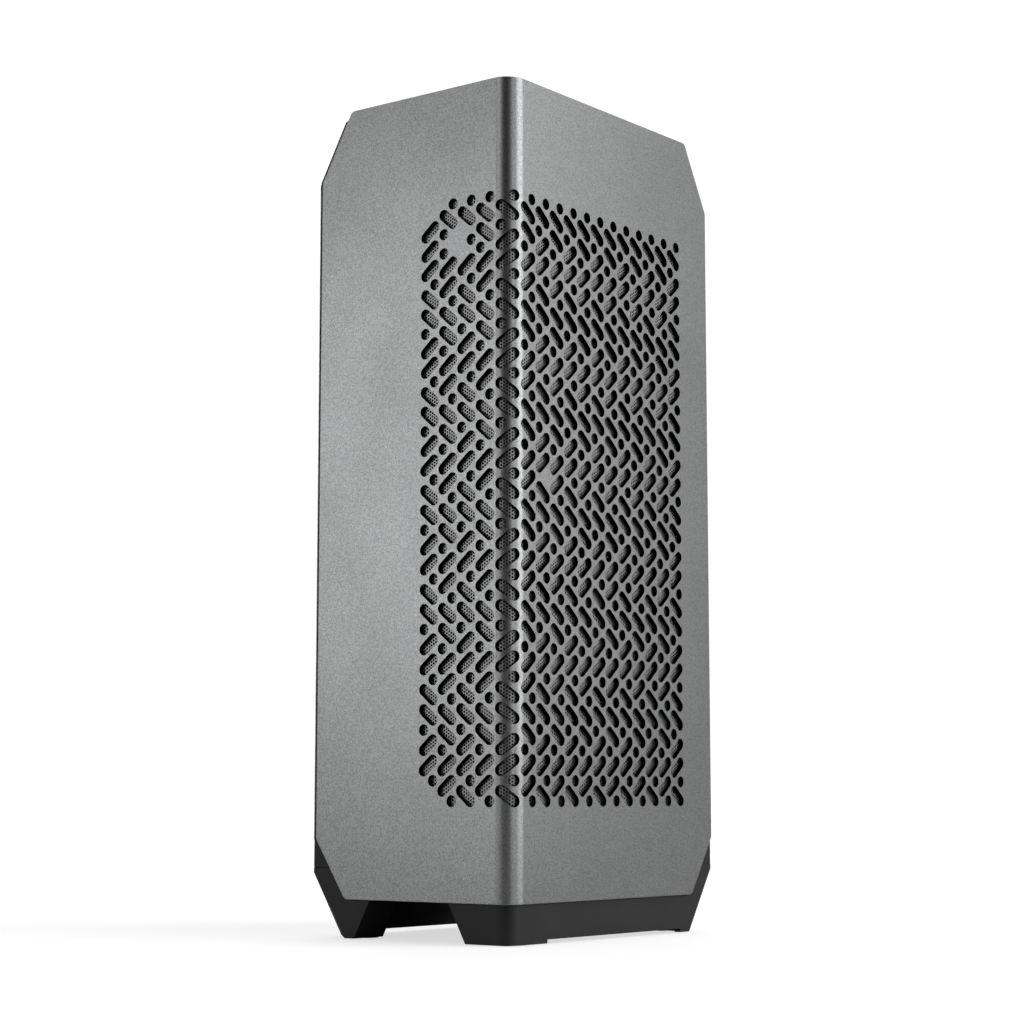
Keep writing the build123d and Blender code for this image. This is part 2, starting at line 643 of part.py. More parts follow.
save(radiator_fan_frame.part, "radiator_fan_frame")

radiator_rotor = fan_rotor(radius=56.0, hub_radius=20.0, depth=16.0, blades=9)
save(
    placed(radiator_rotor, (FAN_CENTRE_X, 0, FAN_BASE + 7.3), SIDEWAYS, UPRIGHT), "radiator_fan_rotor"
)

with BuildPart() as screws:
    for x in (FAN_CENTRE_X - FAN_SCREW_SPACING / 2, FAN_CENTRE_X + FAN_SCREW_SPACING / 2):
        for y in (-FAN_SCREW_SPACING / 2, FAN_SCREW_SPACING / 2):
            rod((x, y, RADIATOR_TOP), UPRIGHT, 1.9, FAN_BASE + FAN_HEIGHT - RADIATOR_TOP)
            rod((x, y, FAN_BASE + FAN_HEIGHT), UPRIGHT, 3.4, 1.8)
            rod((x, y, FAN_BASE + FAN_HEIGHT + 0.8), UPRIGHT, 1.4, 2, Mode.SUBTRACT)
    for x, y in ((-88, 58), (-62, 66), (88, -58), (62, -66)):
        rod((x, y, DECK_TOP), UPRIGHT, 3.0, 2.2)
        rod((x, y, DECK_TOP + 1.2), UPRIGHT, 1.3, 2, Mode.SUBTRACT)
    for side in (1, -1):
        for level in (95, 205, 315):
            rod((side * (FRAME_X - LAP), -side * (FRAME_Y - 9), level), (-side, 0, 0), 3.0, 2.2)
save(screws.part, "screws")

# ---- motherboard and what stands on it ----------------------------------------------------------
BOARD_BACK = 2.0
BOARD_FACE = 3.6
BOARD_HALF = 85.0
BOARD_BOTTOM = 65.0
BOARD_TOP = BOARD_BOTTOM + 2 * BOARD_HALF
BOARD_HOLE_X = 78.5
BOARD_HOLE_INSET = 6.5
CPU_X = -6.0
CPU_Z = 150.0
BOARD_HOLES = [
    (x, z)
    for x in (-BOARD_HOLE_X, BOARD_HOLE_X)
    for z in (BOARD_BOTTOM + BOARD_HOLE_INSET, BOARD_TOP - BOARD_HOLE_INSET)
]

with BuildPart() as motherboard:
    block((-BOARD_HALF, BOARD_HALF), (BOARD_BACK, BOARD_FACE), (BOARD_BOTTOM, BOARD_TOP))
    for x, z in BOARD_HOLES:
        rod((x, 0, z), REARWARD, 2.0, 5, Mode.SUBTRACT)
save(motherboard.part, "motherboard")

with BuildPart() as standoffs:
    for x, z in BOARD_HOLES:
        rod((x, SPINE_FACE, z), REARWARD, 2.8, BOARD_BACK - SPINE_FACE)
        rod((x, BOARD_BACK, z), REARWARD, 1.5, BOARD_FACE - BOARD_BACK)
        rod((x, BOARD_FACE, z), REARWARD, 3.0, 1.8)
save(standoffs.part, "standoffs")

SHIELD_X = 79.4
SHIELD_Y = (3.2, 47.5)
PORTS = (
    (-74.0, -60.0, 30.0), (-56.0, -42.0, 16.0), (-38.0, -24.0, 16.0),
    (-20.0, -4.0, 13.0), (0.0, 14.0, 30.0), (18.0, 32.0, 16.0), (50.0, 74.5, 22.0),
)
with BuildPart() as io_shield:
    block((-SHIELD_X, SHIELD_X), SHIELD_Y, (DECK_TOP, DECK_TOP + 0.8))
    for low, high, tall in PORTS:
        block((low - 0.3, high + 0.3), (BOARD_FACE - 0.2, BOARD_FACE + tall + 0.3), (61, 64), Mode.SUBTRACT)
save(io_shield.part, "io_shield")

with BuildPart() as board_ports:
    for low, high, tall in PORTS:
        block((low, high), (BOARD_FACE, BOARD_FACE + tall), (DECK_TOP - 1, DECK_TOP + 23))
        block((low + 1, high - 1), (BOARD_FACE + 1, BOARD_FACE + tall - 1), (60, 76), Mode.SUBTRACT)
        block((low + 2.5, high - 2.5), (BOARD_FACE + tall / 2 - 1, BOARD_FACE + tall / 2 + 1), (DECK_TOP, 77))
save(board_ports.part, "board_ports")

with BuildPart() as processor:
    block((CPU_X - 19, CPU_X + 19), (BOARD_FACE, BOARD_FACE + 1.2), (CPU_Z - 22, CPU_Z + 22))
    block((CPU_X - 15, CPU_X + 15), (BOARD_FACE + 1, BOARD_FACE + 4), (CPU_Z - 16, CPU_Z + 16))
save(processor.part, "processor")

STICK_X = (-66.0, 67.0)
STICK_Z = (209.0, 219.5)
with BuildPart() as board_sockets:
    for z in STICK_Z:
        block((STICK_X[0] - 4, STICK_X[1] + 4), (BOARD_FACE, BOARD_FACE + 6), (z - 3.2, z + 3.2))
        block(
            (STICK_X[0] - 0.2, STICK_X[1] + 0.2), (BOARD_FACE + 2, BOARD_FACE + 7), (z - 1, z + 1),
            Mode.SUBTRACT,
        )
    block((74.5, 84.5), (BOARD_FACE, 16), (130, 182))
    block((76, 84), (BOARD_FACE, 16), (202, 208))
save(board_sockets.part, "board_sockets")

with BuildPart() as memory_sticks:
    for z in STICK_Z:
        block(STICK_X, (BOARD_FACE + 2.4, 34.0), (z - 0.6, z + 0.6))
        block((STICK_X[0] + 1, STICK_X[1] - 1), (BOARD_FACE + 8, 36.0), (z - 2.6, z + 2.6))
save(memory_sticks.part, "memory_sticks")

with BuildPart() as board_heatsinks:
    block((-62, 42), (BOARD_FACE, 28), (91, 107))
    for z in (93.5, 97.5, 101.5):
        block((-63, 43), (12, 29), (z, z + 2), Mode.SUBTRACT)
    block((42, 70), (BOARD_FACE, 13), (112, 192))
    for x in (45, 49.5, 54, 58.5, 63):
        block((x, x + 2), (8, 14), (111, 193), Mode.SUBTRACT)
save(board_heatsinks.part, "board_heatsinks")

# ---- liquid cooler ------------------------------------------------------------------------------
HOSE_START_X = (-6.0, 14.0)
FITTING_Z = (168.0, 186.0)
with BuildPart() as pump_block:
    block((CPU_X - 34, CPU_X + 34), (7.6, 16), (CPU_Z - 34, CPU_Z + 34))
    fillet(pump_block.edges().filter_by(Axis.Y), radius=8)
    rod((CPU_X, 16, CPU_Z), REARWARD, 31.0, 20)
    block((-22, 26), (36, 66), (132, FITTING_Z[0]))
    outer_face = pump_block.faces().sort_by(Axis.Y)[-1].edges()
    fillet(outer_face, radius=2)
save(pump_block.part, "pump_block")

with BuildPart() as hose_fittings:
    for x, y in zip(HOSE_START_X, HOSE_Y):
        rod((x, y, FITTING_Z[0]), UPRIGHT, 6.4, FITTING_Z[1] - FITTING_Z[0])
        rod((x, y, FITTING_Z[0] + 3), UPRIGHT, 6.8, 4)
        rod((HOSE_X, y, RADIATOR_BOTTOM), DOWNWARD, 6.4, 14)
save(hose_fittings.part, "hose_fittings")

with BuildPart() as coolant_hoses:
    for x, y in zip(HOSE_START_X, HOSE_Y):
        hose_points = ((x, y, FITTING_Z[1]), (x, y, 208), (HOSE_X, y, 256), (HOSE_X, y, RADIATOR_BOTTOM - 14))
        add(tube(hose_points, (36, 58), HOSE_DIAMETER))
save(coolant_hoses.part, "coolant_hoses")

# ---- power unit ---------------------------------------------------------------------------------
PSU_MID_X = sum(PSU_X) / 2
PSU_MID_Z = sum(PSU_Z) / 2
SHEET = 1.0
INLET_X = -50.0
INLET_Y = 30.0
SWITCH_X = -22.0
SWITCH_Y = 38.0

with BuildPart() as psu_case:
    block(PSU_X, PSU_Y, PSU_Z)
    block(
        (PSU_X[0] + SHEET, PSU_X[1] - SHEET), (PSU_Y[0] + SHEET, PSU_Y[1] - SHEET),
        (PSU_Z[0] + SHEET, PSU_Z[1] - SHEET), Mode.SUBTRACT,
    )
    rod((PSU_MID_X, PSU_Y[1] - 2, PSU_MID_Z), REARWARD, 44.0, 4, Mode.SUBTRACT)
    block(
        (INLET_X - 14, INLET_X + 14), (INLET_Y - 10, INLET_Y + 10), (PSU_Z[1] - 2, PSU_Z[1] + 1),
        Mode.SUBTRACT,
    )
    block(
        (SWITCH_X - 7, SWITCH_X + 7), (SWITCH_Y - 10.5, SWITCH_Y + 10.5), (PSU_Z[1] - 2, PSU_Z[1] + 1),
        Mode.SUBTRACT,
    )
    with BuildSketch(Plane.XY.offset(PSU_Z[1] - 2)):
        with Locations((20, 36)):
            with GridLocations(8, 8, 6, 6):
                RegularPolygon(3.2, 6)
    extrude(amount=4, mode=Mode.SUBTRACT)
    block((PSU_X[0] + SHEET, PSU_X[1] - SHEET), (44, 47), (PSU_MID_Z - 2, PSU_MID_Z + 2))
    rod((PSU_MID_X, 44, PSU_MID_Z), REARWARD, 14, 4)
    rod((PSU_MID_X, 43, PSU_MID_Z), REARWARD, SHAFT_RADIUS + SHAFT_GAP, 7, Mode.SUBTRACT)
save(psu_case.part, "psu_case")

with BuildPart() as psu_board:
    block((PSU_X[0] + 4, PSU_X[1] - 4), (10, 11.6), (PSU_Z[0] + 4, PSU_Z[1] - 4))
    block((-40, -14), (11.6, 38), (285, 320))
    block((0, 24), (11.6, 34), (300, 330))
    for x in (-58, -30, 36):
        rod((x, 11.6, 280), REARWARD, 7, 24)
save(psu_board.part, "psu_board")

with BuildPart() as psu_fan_grille:
    with BuildSketch(Plane.XZ.offset(-PSU_Y[1])):
        with Locations((PSU_MID_X, PSU_MID_Z)):
            for radius in (12, 21, 30, 39, 46.5):
                Circle(radius)
                Circle(radius - 1.4, mode=Mode.SUBTRACT)
            with PolarLocations(29, 4, start_angle=45):
                Rectangle(37, 1.4)
    extrude(amount=-0.5)
save(psu_fan_grille.part, "psu_fan_grille")

psu_rotor = fan_rotor(radius=42.0, hub_radius=17.0, depth=14.0, blades=9)
save(placed(psu_rotor, (PSU_MID_X, 49.0, PSU_MID_Z), SIDEWAYS, REARWARD), "psu_fan_rotor")

with BuildPart() as psu_inlet:
    block((INLET_X - 14, INLET_X + 14), (INLET_Y - 10, INLET_Y + 10), (PSU_Z[1] - 20, PSU_Z[1]))
    block(
        (INLET_X - 11.5, INLET_X + 11.5), (INLET_Y - 7.8, INLET_Y + 7.8), (PSU_Z[1] - 16, PSU_Z[1] + 1),
        Mode.SUBTRACT,
    )
save(psu_inlet.part, "psu_inlet")

ROCKER_PIVOT_Z = PSU_Z[1] - 4
ROCKER_TILT = 10.0
with BuildPart() as psu_switch:
    with BuildSketch(Plane.XZ.offset(-SWITCH_Y + 8)):
        with Locations(Location((SWITCH_X, ROCKER_PIVOT_Z), ROCKER_TILT)):
            Polygon((-5.8, -1.5), (5.8, -1.5), (5.8, 4.8), (0, 3.2), (-5.8, 4.8), align=None)
    extrude(amount=-16)
save(psu_switch.part, "psu_switch")

# ---- graphics card ------------------------------------------------------------------------------
CARD_X = (-72.0, 62.0)
CARD_Z = (64.0, 330.0)
FAN_LEVELS = (110.0, 197.0, 284.0)
GPU_FAN_X = -5.0
FIN_Y = (-48.0, -13.0)
FIN_PITCH = 3.8
FIN_ROWS = 67
PIPES = (-52.0, -26.0, 16.0, 42.0)
PIPE_Y = -30.0
PIPE_RADIUS = 3.0
GPU_BOARD_Y = (-12.4, -10.8)
BACKPLATE_Y = (-9.4, -8.4)
SHROUD_Y = (-66.0, -48.0)
SHROUD_WINDOWS = (
    ((-69.0, -50.0), (85.0, 130.0)),
    ((-69.0, -50.0), (178.0, 207.0)),
    ((40.0, 47.0), (139.0, 239.0)),
)

with BuildPart() as gpu_board:
    block(CARD_X, GPU_BOARD_Y, (CARD_Z[0] + 2, 300))
    block((CARD_X[0] - 7.8, CARD_X[0]), GPU_BOARD_Y, (84, 168))
    block((CARD_X[1] + 1, CARD_X[1] + 11), (-37, -27), (296, 312))
save(gpu_board.part, "gpu_board")

with BuildPart() as gpu_heatpipes:
    for x in PIPES:
        rod((x, PIPE_Y, CARD_Z[0] + 5), UPRIGHT, PIPE_RADIUS, FIN_ROWS * FIN_PITCH)
save(gpu_heatpipes.part, "gpu_heatpipes")

with BuildPart() as gpu_fins:
    for row in range(FIN_ROWS):
        level = CARD_Z[0] + 6 + FIN_PITCH * row
        block(CARD_X, FIN_Y, (level, level + 0.6))
    for x in PIPES:
        rod((x, PIPE_Y, CARD_Z[0]), UPRIGHT, PIPE_RADIUS + 0.05, 290, Mode.SUBTRACT)
save(gpu_fins.part, "gpu_fins")

with BuildPart() as gpu_shroud:
    block(CARD_X, SHROUD_Y, CARD_Z)
    fillet(gpu_shroud.edges().filter_by(Axis.Y), radius=6)
    block(
        (CARD_X[0] + 3, CARD_X[1] - 3), (SHROUD_Y[0] + 3, SHROUD_Y[1] + 1),
        (CARD_Z[0] + 3, CARD_Z[1] - 3), Mode.SUBTRACT,
    )
    for level in FAN_LEVELS:
        rod((GPU_FAN_X, SHROUD_Y[0] - 1, level), REARWARD, 42.0, 6, Mode.SUBTRACT)
        block((CARD_X[0] + 3, CARD_X[1] - 3), (-50.5, SHROUD_Y[1]), (level - 2, level + 2))
        rod((GPU_FAN_X, -52.5, level), REARWARD, 9.0, 4.5)
        rod((GPU_FAN_X, -54, level), REARWARD, SHAFT_RADIUS + SHAFT_GAP, 7, Mode.SUBTRACT)
    for x, z in SHROUD_WINDOWS:
        block(x, (SHROUD_Y[0] - 1, SHROUD_Y[0] + 4), z, Mode.SUBTRACT)
save(gpu_shroud.part, "gpu_shroud")

gpu_rotor = fan_rotor(radius=40.5, hub_radius=16.0, depth=11.0, blades=11)
for name, level in zip(("lower", "middle", "upper"), FAN_LEVELS):
    save(placed(gpu_rotor, (GPU_FAN_X, -53.0, level), SIDEWAYS, (0, -1, 0)), f"gpu_fan_{name}")

with BuildPart() as gpu_backplate:
    block(CARD_X, BACKPLATE_Y, (CARD_Z[0] + 2, CARD_Z[1]))
    for x in (CARD_X[0] + 6, CARD_X[1] - 6):
        for z in (76, 180, 292):
            rod((x, GPU_BOARD_Y[1], z), REARWARD, 2.5, BACKPLATE_Y[0] - GPU_BOARD_Y[1])
    with BuildSketch(Plane.XZ.offset(9)):
        with Locations((-5, 300)):
            with GridLocations(16, 8, 6, 4):
                SlotOverall(12, 4)
    extrude(amount=4, both=True, mode=Mode.SUBTRACT)
save(gpu_backplate.part, "gpu_backplate")

with BuildPart() as gpu_bracket:
    block((-79, 50), (-58, -8), (DECK_TOP, DECK_TOP + 1.2))
    for x in (-52, -30, -8):
        block((x, x + 16), (-18, -11), (DECK_TOP - 1, DECK_TOP + 2), Mode.SUBTRACT)
    with BuildSketch(Plane.XY.offset(DECK_TOP - 1)):
        with Locations((-15, -38)):
            with GridLocations(8, 8, 13, 3):
                RegularPolygon(3, 6)
    extrude(amount=4, mode=Mode.SUBTRACT)
save(gpu_bracket.part, "gpu_bracket")

# ---- riser and cables ---------------------------------------------------------------------------
RISER_Z = (86.0, 162.0)
RIBBON = 1.4
RISER_ROUTE = ((-77, 14.75), (-77, 22), (-92, 22), (-92, -11.5), (-88.8, -11.5))
with BuildPart() as riser_socket:
    block((-80.5, -73.5), (BOARD_FACE, 14), RISER_Z)
    block((-88, -80), (-16, -7.5), RISER_Z)
save(riser_socket.part, "riser_socket")

with BuildPart() as riser_cable:
    with BuildSketch(Plane.XY.offset(RISER_Z[0] + 2)):
        with BuildLine():
            middle = FilletPolyline(*RISER_ROUTE, radius=(3.5, 7, 1.9))
            offset(middle, RIBBON / 2)
        make_face()
    extrude(amount=RISER_Z[1] - RISER_Z[0] - 4)
save(riser_cable.part, "riser_cable")

CABLES = {
    "board_cable": (
        7.0, (20, 28, 40, 17),
        ((20, 24, 265), (20, 24, 240), (66, 26, 234), (82, 32, 208), (80, 36, 156), (80, 16, 156)),
    ),
    "graphics_cable": (
        6.0, (18, 17, 24, 30),
        ((44, 20, 265), (44, 20, 244), (72, 14, 240), (76, -16, 246), (68, -32, 272), (68, -32, 296)),
    ),
    "mains_lead": (
        7.0, (16, 16, 60, 30, 24, 40, 40, 30),
        (
            (INLET_X, INLET_Y, 349), (INLET_X, INLET_Y, 391), (-86, 34, 391), (-86, 36, 160), (-84, 54, 100),
            (-68, 54, 60), (-32, 38, 38), (2, 10, 22), (22, 0, 20), (44, 0, 20),
        ),
    ),
    "panel_cable": (5.0, (200, 200), ((80, 12, 452), (80, 16, 380), (79, 13, 290), (80, 12, 208))),
}
for name, (diameter, bends, points) in CABLES.items():
    cable = tube(points, bends, diameter)
    run = sum((Vector(*b) - Vector(*a)).length for a, b in zip(points, points[1:]))
    print(name, "bend radii", bends, "route", round(run))
    save(cable, name)

with BuildPart() as storage_drive:
    block((-50, 50), (-12.2, SPINE_BACK), (331, 401))
    fillet(storage_drive.edges().filter_by(Axis.Y), radius=2)
save(storage_drive.part, "storage_drive")

INLET_FACE_X = 73.0
with BuildPart() as mains_inlet:
    block((44, INLET_FACE_X), (-14, 14), (10, 30))
    block((57, INLET_FACE_X + 1), (-12, 12), (12, 28), Mode.SUBTRACT)
    for y in (-6.5, 0, 6.5):
        block((56, 62), (y - 1, y + 1), (19, 23))
    block((44, 50), (-14, 14), (30, DECK_TOP - LAP - 2))
    block((44, 66), (-64, 64), (DECK_TOP - LAP - 2, DECK_TOP - LAP))
save(mains_inlet.part, "mains_inlet")
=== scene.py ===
"""The look of the desktop computer tower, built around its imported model."""
import json
from math import atan2, ceil, cos, hypot, pi, radians, sin, sqrt, tan

import bmesh
import bpy
import numpy as np
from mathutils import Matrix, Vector
from mathutils.geometry import delaunay_2d_cdt


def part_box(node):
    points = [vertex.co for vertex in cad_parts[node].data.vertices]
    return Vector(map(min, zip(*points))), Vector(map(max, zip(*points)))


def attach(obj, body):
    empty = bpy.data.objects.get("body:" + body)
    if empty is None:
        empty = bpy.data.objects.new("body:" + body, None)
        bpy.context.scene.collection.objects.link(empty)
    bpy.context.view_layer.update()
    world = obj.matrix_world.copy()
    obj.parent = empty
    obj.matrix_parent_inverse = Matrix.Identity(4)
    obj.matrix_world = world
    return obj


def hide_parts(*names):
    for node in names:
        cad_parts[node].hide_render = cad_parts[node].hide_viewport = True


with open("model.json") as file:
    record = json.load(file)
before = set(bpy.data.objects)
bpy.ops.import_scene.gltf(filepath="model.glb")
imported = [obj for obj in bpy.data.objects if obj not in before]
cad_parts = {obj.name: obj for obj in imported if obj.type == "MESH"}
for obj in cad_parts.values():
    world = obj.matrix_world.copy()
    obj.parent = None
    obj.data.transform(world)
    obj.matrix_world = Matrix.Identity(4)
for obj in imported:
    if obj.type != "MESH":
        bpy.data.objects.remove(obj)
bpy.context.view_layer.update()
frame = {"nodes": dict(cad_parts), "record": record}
MM = 0.001
RIM_ATTRIBUTE = "rim"
# how many times brighter the base colour is painted on the holes' rims: a painted highlight
PAINTED_HIGHLIGHT_GAIN = 2.1
THREADS_TO_THE_METRE = 250.0


# ---- materials ----------------------------------------------------------------------------------
def node_of(tree, kind, **values):
    """A new node with its properties and its inputs' values set."""
    node = tree.nodes.new(kind)
    for key, value in values.items():
        if key in node.inputs:
            node.inputs[key].default_value = value
        else:
            setattr(node, key, value)
    return node


def new_material(name, metallic, specular=0.5, coat=0.0, coat_roughness=0.1):
    """A material whose shader's constants are set; returns it, its tree, its shader and its coordinates."""
    made = bpy.data.materials.new(name)
    made.use_nodes = True
    tree = made.node_tree
    shader = tree.nodes["Principled BSDF"]
    shader.inputs["Metallic"].default_value = metallic
    shader.inputs["Specular IOR Level"].default_value = specular
    shader.inputs["Coat Weight"].default_value = coat
    shader.inputs["Coat Roughness"].default_value = coat_roughness
    where = tree.nodes.new("ShaderNodeTexCoord").outputs["Object"]
    return made, tree, shader, where


def noise(tree, where, scale, detail=2.0, roughness=0.5, stretch=None):
    """A noise texture's value, at scale cells to the metre."""
    if stretch:
        mapping = node_of(tree, "ShaderNodeMapping")
        mapping.inputs["Scale"].default_value = stretch
        tree.links.new(where, mapping.inputs["Vector"])
        where = mapping.outputs["Vector"]
    texture = node_of(tree, "ShaderNodeTexNoise", Scale=scale, Detail=detail, Roughness=roughness)
    tree.links.new(where, texture.inputs["Vector"])
    return texture.outputs["Fac"]


def ramp(tree, value, low, high, start, end, interpolation="LINEAR"):
    """value between low and high, turned into start to end."""
    node = node_of(tree, "ShaderNodeMapRange", interpolation_type=interpolation)
    for key, number in zip(("From Min", "From Max", "To Min", "To Max"), (low, high, start, end)):
        node.inputs[key].default_value = number
    tree.links.new(value, node.inputs["Value"])
    return node.outputs["Result"]


def blend_colour(tree, factor, first, second):
    """Colour from first to second as factor goes from 0 to 1."""
    node = node_of(tree, "ShaderNodeMix", data_type="RGBA")
    node.inputs[6].default_value = (*first, 1)
    node.inputs[7].default_value = (*second, 1)
    tree.links.new(factor, node.inputs[0])
    return node.outputs[2]


def bumped(tree, shader, *layers):
    """Height layers of (value, distance in metres), stacked on the shader's normal."""
    last = None
    for height, distance in layers:
        node = node_of(tree, "ShaderNodeBump", Strength=1.0, Distance=distance)
        tree.links.new(height, node.inputs["Height"])
        if last:
            tree.links.new(last, node.inputs["Normal"])
        last = node.outputs["Normal"]
    tree.links.new(last, shader.inputs["Normal"])


def textured(name, dark, light, rough, metallic, grain, depth, patch=40.0, stretch=None, **constants):
    """A surface with a fine grain, a slow drift of colour and a roughness that follows both."""
    made, tree, shader, where = new_material(name, metallic, **constants)
    fine = noise(tree, where, grain, 3.0, 0.6, stretch)
    slow = noise(tree, where, patch, 3.0, 0.55)
    tint = node_of(tree, "ShaderNodeMath", operation="MULTIPLY_ADD")
    tree.links.new(fine, tint.inputs[0])
    tint.inputs[1].default_value = 0.6
    drift = ramp(tree, slow, 0.3, 0.7, -0.1, 0.5)
    tree.links.new(drift, tint.inputs[2])
    tree.links.new(blend_colour(tree, tint.outputs[0], dark, light), shader.inputs["Base Color"])
    tree.links.new(ramp(tree, tint.outputs[0], 0.0, 1.0, rough[0], rough[1]), shader.inputs["Roughness"])
    bumped(tree, shader, (slow, depth * 2), (fine, depth))
    return made


def anodised(name, dark, light, rough):
    """Bead-blasted and anodised sheet: a sand-like grain of two sizes, and a painted highlight on the holes'
    rims, where the base colour is made brighter.
    """
    made, tree, shader, where = new_material(name, 1.0)
    coarse = noise(tree, where, 1500.0, 2.0, 0.7)
    fine = noise(tree, where, 4200.0, 1.0, 0.5)
    slow = noise(tree, where, 14.0, 3.0, 0.6)
    grain = ramp(tree, coarse, 0.34, 0.66, 0.0, 1.0)
    rim = node_of(tree, "ShaderNodeAttribute", attribute_name=RIM_ATTRIBUTE)
    # painted highlight: the base colour is scaled up on the holes' rims
    painted_rim_highlight = ramp(tree, rim.outputs["Fac"], 0.0, 1.0, 1.0, PAINTED_HIGHLIGHT_GAIN)
    colour = node_of(tree, "ShaderNodeVectorMath", operation="SCALE")
    tree.links.new(blend_colour(tree, grain, dark, light), colour.inputs[0])
    tree.links.new(painted_rim_highlight, colour.inputs["Scale"])
    tree.links.new(colour.outputs["Vector"], shader.inputs["Base Color"])
    tree.links.new(ramp(tree, slow, 0.3, 0.7, rough[0], rough[1]), shader.inputs["Roughness"])
    bumped(tree, shader, (coarse, 1.1e-5), (fine, 4e-6))
    return made


def braided(name, dark, light, rough):
    """A woven sleeve: two crossing sets of threads."""
    made, tree, shader, where = new_material(name, 0.0)
    heights = []
    for tilt in (1, -1):
        wave = node_of(tree, "ShaderNodeTexWave", wave_type="BANDS", bands_direction="DIAGONAL")
        wave.inputs["Scale"].default_value = THREADS_TO_THE_METRE
        mapping = node_of(tree, "ShaderNodeMapping")
        mapping.inputs["Scale"].default_value = (1, 1, tilt)
        tree.links.new(where, mapping.inputs["Vector"])
        tree.links.new(mapping.outputs["Vector"], wave.inputs["Vector"])
        heights.append(wave.outputs["Fac"])
    upper = node_of(tree, "ShaderNodeMath", operation="MAXIMUM")
    for value, socket in zip(heights, upper.inputs):
        tree.links.new(value, socket)
    weave = upper.outputs[0]
    tree.links.new(blend_colour(tree, weave, dark, light), shader.inputs["Base Color"])
    tree.links.new(ramp(tree, weave, 0.0, 1.0, rough[1], rough[0]), shader.inputs["Roughness"])
    bumped(tree, shader, (weave, 2e-4))
    return made


def grey(value, tint=0.0):
    """A neutral colour; tint makes it cooler."""
    return (value * (1 - tint), value, value * (1 + tint))


MATERIALS = {
    "shell_metal": anodised("anodised_shell", grey(0.15, 0.01), grey(0.31, 0.01), (0.27, 0.31)),
    "mesh_metal": textured("dust_mesh", grey(0.20), grey(0.32), (0.3, 0.42), 1.0, 1800, 6e-6),
    "frame_black": textured(
        "powder_coat", grey(0.009, 0.03), grey(0.021, 0.03), (0.42, 0.6), 0.0, 1400, 2.5e-5, specular=0.25),
    "base_plastic": textured(
        "base_coat", grey(0.010, 0.02), grey(0.022, 0.02), (0.42, 0.55), 0.0, 1300, 2.2e-5, specular=0.25),
    "black_plastic": textured("satin_black", grey(0.010), grey(0.024), (0.32, 0.46), 0.0, 1800, 8e-6),
    "pad_rubber": textured("pad_rubber", grey(0.008), grey(0.022), (0.7, 0.85), 0.0, 900, 4e-5, specular=0.3),
    "bright_steel": textured(
        "zinc_steel", grey(0.42, 0.01), grey(0.66, 0.01), (0.24, 0.4), 1.0, 700, 6e-6, 25.0),
    "fin_aluminium": textured(
        "fin_aluminium", grey(0.62, 0.005), grey(0.86, 0.005), (0.2, 0.34), 1.0, 500, 6e-6, 30.0,
        stretch=(1, 1, 0.05)),
    "copper": textured("heat_pipe", (0.50, 0.25, 0.15), (0.80, 0.45, 0.30), (0.18, 0.32), 1.0, 400, 5e-6),
    "board_black": textured(
        "solder_mask", (0.006, 0.009, 0.009), (0.018, 0.022, 0.022), (0.22, 0.36), 0.0, 600, 1e-5, coat=0.4),
    "connector_plastic": textured("connector", grey(0.014), grey(0.032), (0.4, 0.55), 0.0, 1500, 1e-5),
    "hose_rubber": braided("braided_hose", grey(0.006), grey(0.030), (0.45, 0.7)),
    "cable_sleeve": textured("cable_jacket", grey(0.008), grey(0.024), (0.45, 0.6), 0.0, 1100, 2e-5),
    "fan_plastic": textured("fan_plastic", grey(0.010), grey(0.022), (0.28, 0.42), 0.0, 1600, 7e-6),
    "silicon": textured(
        "nickel_lid", grey(0.48), grey(0.66), (0.22, 0.36), 1.0, 500, 5e-6, 30.0, stretch=(1, 1, 0.08)),
}
slot_of = {entry["node"]: entry["material_slot"] for entry in frame["record"]["subparts"]}
body_of = {node: body for body, nodes in frame["record"]["behaviour"]["bodies"].items() for node in nodes}
for node, item in frame["nodes"].items():
    for place in item.material_slots:
        place.material = MATERIALS[slot_of[node]]


# ---- building pieces ----------------------------------------------------------------------------
def add_piece(name, mesh, node):
    """A new piece that stands for a CAD node: it takes the node's material and rides on its body."""
    piece = bpy.data.objects.new(name, mesh)
    bpy.context.scene.collection.objects.link(piece)
    mesh.materials.clear()
    mesh.materials.append(MATERIALS[slot_of[node]])
    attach(piece, body_of[node])
    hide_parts(node)
    return piece


WELD = 2e-6
FLAT_ANGLE = radians(0.6)
SHARP_ANGLE = radians(32)
SHADING_ANGLE = radians(50)


def softened(node, width):
    """The CAD node's own shape with every sharp edge rounded by width."""
    work = bmesh.new()
    work.from_mesh(frame["nodes"][node].data)
    bmesh.ops.remove_doubles(work, verts=work.verts, dist=WELD)
    bmesh.ops.dissolve_limit(
        work, angle_limit=FLAT_ANGLE, verts=work.verts, edges=work.edges, use_dissolve_boundaries=False)
    work.normal_update()
    sharp = [e for e in work.edges if len(e.link_faces) == 2 and e.calc_face_angle(0) > SHARP_ANGLE]
    bmesh.ops.bevel(
        work, geom=sharp, offset=width, segments=2, profile=0.5, affect="EDGES", clamp_overlap=True)
    for face in work.faces:
        face.smooth = True
    mesh = bpy.data.meshes.new(node + "_rounded")
    work.to_mesh(mesh)
    work.free()
    mesh.set_sharp_from_angle(angle=SHADING_ANGLE)
    piece = add_piece(node + "_rounded", mesh, node)
    weighted = piece.modifiers.new("weighted", "WEIGHTED_NORMAL")
    weighted.keep_sharp = True
    weighted.weight = 80


